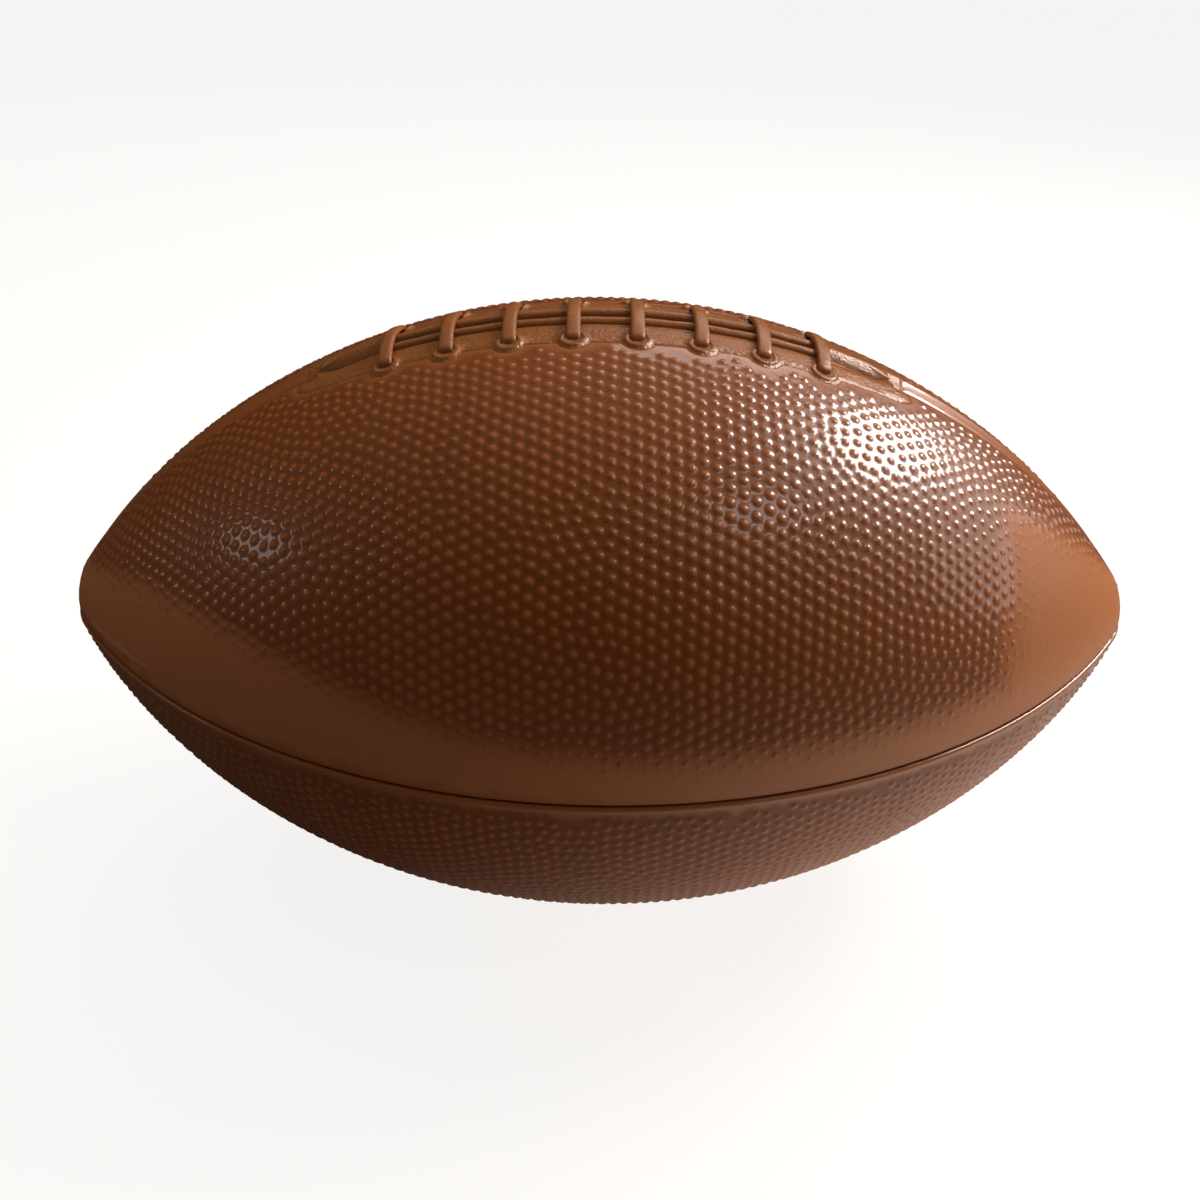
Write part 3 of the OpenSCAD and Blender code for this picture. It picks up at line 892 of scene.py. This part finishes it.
def lace_facing(name, y_side, finish):
    """One facing, with its rims, its eyelets, its part of the valley and the step at the slot's ends."""
    step_x = slot_length / 2
    inner_x = step_x - slot_step
    outer_x = step_x + slot_step
    end_x = facing_length / 4 + step_x / 2
    seam_edge = valley_spots(np.array([-end_x, -outer_x, outer_x, end_x]), half_gap)
    seam_edge[:, 2] -= slot_edge_sink
    slot_edge = plan_spots(slot_plan(0, inner_x), -slot_edge_sink)
    outer_edge = facing_line(0, facing_edge_sink)
    edge = np.concatenate([outer_edge, seam_edge[:2], slot_edge, seam_edge[2:]])
    lines = [facing_line(-facing_edge_sink, 0.0, 2 * half_gap)]
    lines.append(plan_spots(slot_plan(slot_lip, inner_x - slot_step)))
    for side in (-1, 1):
        lines += facing_end_lines(side, inner_x, outer_x)
    eyelets = range(1, bar_count + 1)
    holes = [eyelet_ring(index, eyelet_r, rim_foot) for index in eyelets]
    for radius, height in rim_profile:
        lines += [eyelet_ring(index, radius * mm, height * mm) for index in eyelets]
    grid = np.array([(x, y) for x in facing_grid_x for y in facing_grid_y])
    loose = plan_spots(grid)
    beside_slot = np.abs(outline(loose[:, 0])[0]) <= inner_x
    valley_edge = valley_half_w(slot_turn) + valley_grid_room
    in_groove = grid[:, 1] < np.where(beside_slot, slot_w / 2, valley_edge)
    bounds = [edge, *holes, *lines]
    loose = loose[in_facings(loose) & ~in_groove & clear_of(loose, bounds, facing_grid_room)]
    sides = (y_side, 1)
    spots, triangles, _ = flat_faces(edge, holes, lines, [], loose)
    mesh = bmesh.new()
    add_skin(mesh, spots, triangles, sides, True)
    close_skin(mesh, edge, holes, loose, facing_t, sides)
    return finish_piece(f"moulded_{name}", mesh, finish, "ball", "facing", name)


facing_rubber = rubber_finish(
    "facing_rubber",
    colour=(0.28, 0.1, 0.03, 1),
    patch_colour=(0.24, 0.084, 0.024, 1),
    patch_scale=70.0,
    roughness=(0.07, 0.27),
    grain_scale=1100.0,
    grain_depth=0.32 * mm,
    Specular_IOR_Level=0.75,
)[0]
lace_facing("lace_facing_front", -1, facing_rubber)
lace_facing("lace_facing_back", 1, facing_rubber)

# Lacing: two round strands along the slot and eight crossbars over them, moulded in the same rubber.
# Each crossbar turns down into its two eyelets, and a foot under each facing holds it.
lace_rubber = rubber_finish(
    "lace_rubber",
    colour=(0.29, 0.106, 0.034, 1),
    patch_colour=(0.25, 0.088, 0.026, 1),
    patch_scale=90.0,
    roughness=(0.16, 0.4),
    grain_scale=1500.0,
    grain_depth=0.13 * mm,
    Specular_IOR_Level=0.5,
)[0]
dress("lace_pad", lace_rubber)

strand_r = 1.3 * mm
strand_spacing = 5.3 * mm
strand_height = strand_r - (cover_t - pad_t)
strand_sides = 20
strand_squeeze = 0.06 * mm
strand_swell = 0.05 * mm
strand_steps = 141
bar_w = 3 * mm
bar_t = 1.3 * mm
bar_bend_r = 0.4 * mm
leg_shift = 0.3 * mm
leg_w = bar_w * 0.9
foot_length = 2.2 * mm
foot_w = 2.4 * mm
foot_t = pad_t - 2 * bond_gap
foot_bend_r = 0.1 * mm
bar_sides = 24


def add_sweep(mesh, rings):
    """Bends a sheet over rings of points, joins it along its length and closes its ends. The sheet is
    two units wide each way, from -1 to 1."""
    count = len(rings)
    sides = len(rings[0])
    sheet = bmesh.ops.create_grid(mesh, x_segments=count - 1, y_segments=sides, size=1)["verts"]
    for vert in sheet:
        number = round((vert.co.x + 1) / 2 * (count - 1))
        vert.co = rings[number][round((vert.co.y + 1) / 2 * sides) % sides]
    bmesh.ops.remove_doubles(mesh, verts=sheet, dist=0.0005 * mm)
    bmesh.ops.holes_fill(mesh, edges=[side for side in mesh.edges if side.is_boundary])
    bmesh.ops.recalc_face_normals(mesh, faces=mesh.faces[:])


def lace_strand(name, y_side, finish):
    """One strand along the belly arc, round and a little squeezed under each crossbar."""
    last_turn = (bar_count - 1) / 2 * bar_turn
    around = np.arange(strand_sides) * 2 * math.pi / strand_sides
    ends = np.radians(np.linspace(85, 10, 7))
    stages = [(-last_turn, -math.sin(a), math.cos(a)) for a in ends]
    stages += [(turn, 0.0, 1.0) for turn in np.linspace(-last_turn, last_turn, strand_steps)]
    stages += [(last_turn, math.sin(a), math.cos(a)) for a in ends[::-1]]
    middle = Matrix.Translation((0, y_side * strand_spacing / 2, -belly_drop))
    rings = []
    for turn, ahead, share in stages:
        bar_off = abs((turn / bar_turn + 0.5) % 1 - 0.5) * 2
        squeeze = strand_squeeze * max(0, 1 - 3 * bar_off) ** 2
        swell = strand_swell * math.sin(math.pi * bar_off / 2) ** 2
        radius = (strand_r + swell) * share
        place = middle @ Matrix.Rotation(turn, 4, "Y")
        ring = []
        for angle in around:
            rise = radius * math.sin(angle)
            if rise > 0:
                rise -= squeeze * share
            out = belly_r + strand_height + rise
            ring.append(place @ Vector((ahead * strand_r, radius * math.cos(angle), out)))
        rings.append(ring)
    mesh = bmesh.new()
    add_sweep(mesh, rings)
    return finish_piece(f"round_{name}", mesh, finish, "ball", "lace", name)


def bar_path(surface_r):
    """Stages of half a crossbar from its middle to its foot: a point on its inner face, the way its
    thickness points, and its width and thickness there."""
    bar_rise = strand_height + strand_r + bond_gap
    over_y = strand_spacing / 2
    over_z = math.sqrt((surface_r + bar_rise) ** 2 - over_y**2)
    down_y = eyelet_rows_w / 2 - eyelet_r + leg_shift
    down_z = math.sqrt(surface_r**2 - down_y**2)
    arc_z = (surface_r**2 - (surface_r + bar_rise) ** 2) / (2 * (down_z - over_z))
    arc_r = math.hypot(over_y, over_z - arc_z)
    bend_in = leg_shift + bar_bend_r + bar_t / 2
    arc_turn = eyelet_turn + math.asin((arc_z * math.sin(eyelet_turn) - bend_in) / (arc_r - bar_bend_r))
    stages = []
    for turn in np.linspace(0, arc_turn, 15)[:-1]:
        stages.append((arc_r * math.sin(turn), arc_z + arc_r * math.cos(turn), turn, bar_w, bar_t))
    bend_y = (arc_r - bar_bend_r) * math.sin(arc_turn)
    bend_z = arc_z + (arc_r - bar_bend_r) * math.cos(arc_turn)
    leg_way = math.pi / 2 + eyelet_turn
    for turn in np.linspace(arc_turn, leg_way, 11):
        share = (turn - arc_turn) / (leg_way - arc_turn)
        y, z = bend_y + bar_bend_r * math.sin(turn), bend_z + bar_bend_r * math.cos(turn)
        width = bar_w * (1 - 0.1 * share**2)
        stages.append((y, z, turn, width, bar_t * (1 + 0.05 * math.sin(math.pi * share))))
    down = Vector((-math.sin(eyelet_turn), -math.cos(eyelet_turn)))
    leg_top = Vector(stages[-1][:2])
    leg_end_r = surface_r - (cover_t - bond_gap) + foot_bend_r + foot_t
    leg_run = leg_top.dot(-down) - leg_end_r
    for share in (0.5, 1.0):
        y, z = leg_top + down * leg_run * share
        stages.append((y, z, leg_way, leg_w, bar_t))
    inward = Vector((-math.cos(eyelet_turn), math.sin(eyelet_turn)))
    foot_pivot = Vector(stages[-1][:2]) + foot_bend_r * inward
    for share in (0.35, 0.7, 1.0):
        turn = leg_way + share * math.pi / 2
        y, z = foot_pivot + foot_bend_r * Vector((math.sin(turn), math.cos(turn)))
        width = leg_w + (foot_w - leg_w) * share
        stages.append((y, z, turn, width, bar_t + (foot_t - bar_t) * share))
    y, z = Vector(stages[-1][:2]) + inward * (foot_length - foot_bend_r)
    stages.append((y, z, leg_way + math.pi / 2, foot_w, foot_t))
    return stages


def bar_ring(stage, mirrored, place):
    """The rounded section of a crossbar at one stage of its path."""
    y, z, turn, width, thickness = stage
    ring = []
    for angle in np.arange(bar_sides) * 2 * math.pi / bar_sides:
        cos, sin = math.cos(angle), math.sin(angle)
        across = width / 2 * math.copysign(abs(cos) ** 0.62, cos)
        power = 0.75 if sin > 0 else 0.45
        out = thickness / 2 * (1 + math.copysign(abs(sin) ** power, sin))
        aside = y + out * math.sin(turn)
        ring.append(place @ Vector((across, -aside if mirrored else aside, z + out * math.cos(turn))))
    return ring


def lace_crossbar(index, finish):
    place, surface_r = bar_frame(index)
    stages = bar_path(surface_r)
    rings = [bar_ring(stage, True, place) for stage in stages[:0:-1]]
    rings += [bar_ring(stage, False, place) for stage in stages]
    mesh = bmesh.new()
    add_sweep(mesh, rings)
    name = f"lace_crossbar_{index}"
    return finish_piece(f"bent_{name}", mesh, finish, "ball", "lace", name)


lace_strand("lace_strand_front", -1, lace_rubber)
lace_strand("lace_strand_back", 1, lace_rubber)
for index in range(1, bar_count + 1):
    lace_crossbar(index, lace_rubber)

# Valve: a dark rubber housing bonded in the bladder, and the core, a plug that the needle goes
# through. The core pulls straight out of the housing.
valve_rubber = rubber_finish(
    "valve_rubber",
    colour=(0.03, 0.028, 0.027, 1),
    patch_colour=(0.05, 0.047, 0.045, 1),
    patch_scale=160.0,
    roughness=(0.5, 0.7),
    grain_scale=3000.0,
    grain_depth=0.03 * mm,
    Specular_IOR_Level=0.4,
)[0]
dress("valve_housing", valve_rubber)
dress("valve_core", valve_rubber)

# Floor and light: a plain pale floor, which glows as a painted pool of light on the right, where the main
# lamp
# stands, and soft lamps: the main one high on the right and a little behind, and weaker ones round the
# ball.
floor_size = 8.0
floor_gap = 0.3 * mm
floor_grey = 0.16
floor_white = 0.87
# The floor's glow, which the camera doesn't see, is painted light: a pool of light on the right of the ball
# and a weak glow elsewhere.
bounce_level = 0.07
light_pool_level = 4.0
light_pool_place = (0.165, 0.0, 0.0)
light_pool_reach = (0.03, 0.25)
bounce_colour = (1, 0.86, 0.74, 1)
white_tint = (1, 0.985, 0.97, 1)
mirrored_share = 0.11


def floor_finish():
    """A pale floor that the camera sees as white, and through which it sees from below. Beside the ball it
    glows as a painted pool of light, brightest on the right, and a little everywhere else; this glow lights
    the ball, which mirrors the floor only dimly."""
    finish, tree, shader = new_finish("pale_floor", Roughness=0.9, Specular_IOR_Level=0.0)
    place = add_node(tree, "ShaderNodeTexCoord").outputs["Object"]
    apart = add_math(tree, "DISTANCE", place, light_pool_place, kind="ShaderNodeVectorMath")
    light_pool = add_range(tree, apart, light_pool_reach, (light_pool_level, bounce_level), eased=True)
    ray = add_node(tree, "ShaderNodeLightPath").outputs
    share = add_range(tree, ray["Is Glossy Ray"], (0.0, 1.0), (1.0, mirrored_share))
    seen = add_math(tree, "MAXIMUM", ray["Is Camera Ray"], ray["Is Transmission Ray"])
    glow = add_mix(tree, seen, add_math(tree, "MULTIPLY", light_pool, share), floor_white, numbers=True)
    feed(tree, shader.inputs["Base Color"], add_math(tree, "MULTIPLY", share, floor_grey))
    feed(tree, shader.inputs["Emission Color"], add_mix(tree, seen, bounce_colour, white_tint))
    feed(tree, shader.inputs["Emission Strength"], glow)
    sides = add_node(tree, "ShaderNodeMixShader")
    feed(tree, sides.inputs[0], add_node(tree, "ShaderNodeNewGeometry").outputs["Backfacing"])
    feed(tree, sides.inputs[1], shader.outputs[0])
    feed(tree, sides.inputs[2], add_node(tree, "ShaderNodeBsdfTransparent").outputs[0])
    feed(tree, tree.nodes["Material Output"].inputs["Surface"], sides.outputs[0])
    return finish


bpy.ops.mesh.primitive_plane_add(size=floor_size, location=(0, 0, cad_box[0].z - floor_gap))
floor = bpy.context.object
floor.name = "floor"
floor.data.materials.append(floor_finish())

lamp_white = (1, 0.93, 0.87)
lamp_amber = (1, 0.85, 0.7)


def soft_lamp(name, direction, distance, size, roll, level, mirrored=True, colour=lamp_white):
    """An oval soft lamp that faces the ball's middle. Its size is its width and height at a distance
    of one. Level is the brightness that it gives to a white surface there that faces it. A lamp that
    isn't mirrored shows in no reflection."""
    light = bpy.data.lights.new(name, "AREA")
    light.shape = "ELLIPSE"
    light.size = size[0] * distance
    light.size_y = size[1] * distance
    light.energy = level * (math.pi * distance) ** 2
    light.color = colour
    lamp = bpy.data.objects.new(name, light)
    towards = Vector(direction).normalized()
    lamp.location = towards * distance
    turned = towards.to_track_quat("Z", "Y").to_matrix() @ Matrix.Rotation(math.radians(roll), 3, "Z")
    lamp.rotation_euler = turned.to_euler()
    lamp.visible_glossy = mirrored
    bpy.context.scene.collection.objects.link(lamp)


soft_lamp("key_lamp", (0.708, 0.322, 0.628), 0.75, (0.57, 0.3), -39, 1.05)
soft_lamp("front_lamp", (0.483, -0.328, 0.812), 0.9, (0.36, 0.18), -17, 0.06)
soft_lamp("left_lamp", (-0.911, -0.11, 0.397), 0.9, (0.3, 0.14), 10, 0.027)
soft_lamp("back_lamp", (0.26, 0.72, 0.64), 0.9, (0.5, 0.3), 20, 0.1)
soft_lamp("right_lamp", (0.96, 0.07, 0.26), 0.9, (0.8, 0.5), 0, 0.17)
soft_lamp("front_fill", (0.88, -0.45, 0.15), 0.9, (0.9, 0.9), 0, 0.12, mirrored=False)
soft_lamp("top_fill", (-0.1, 0.42, 0.9), 0.9, (0.9, 0.9), 0, 0.25, mirrored=False)
soft_lamp("left_fill", (-0.98, -0.1, 0.05), 0.9, (0.6, 0.6), 0, 0.09, mirrored=False, colour=lamp_amber)

# The room: a plain dome that lights the ball from behind and above and is dark in front of it. The
# camera sees it as white as the floor, and it shows in no reflection.
dome_white = (1, 0.97, 0.94, 1)
dome_light_way = (-0.25, 0.7, 0.67)
dome_light_reach = (-0.1, 0.95)
dome_light_level = (0.01, 0.5)
world = bpy.data.worlds.new("studio")
bpy.context.scene.world = world
world.use_nodes = True
dome = world.node_tree
way = add_node(dome, "ShaderNodeTexCoord").outputs["Generated"]
facing_light = add_math(dome, "DOT_PRODUCT", way, dome_light_way, kind="ShaderNodeVectorMath")
dome_level = add_range(dome, facing_light, dome_light_reach, dome_light_level, eased=True)
dome_ray = add_node(dome, "ShaderNodeLightPath").outputs
dome_seen = add_math(dome, "MAXIMUM", dome_ray["Is Camera Ray"], dome_ray["Is Transmission Ray"])
dome_glow = add_mix(dome, dome_seen, dome_level, floor_white, numbers=True)
background = dome.nodes["Background"]
feed(dome, background.inputs["Color"], dome_white)
feed(dome, background.inputs["Strength"], dome_glow)
world.cycles_visibility.glossy = False

bpy.context.scene.view_settings.view_transform = "Standard"
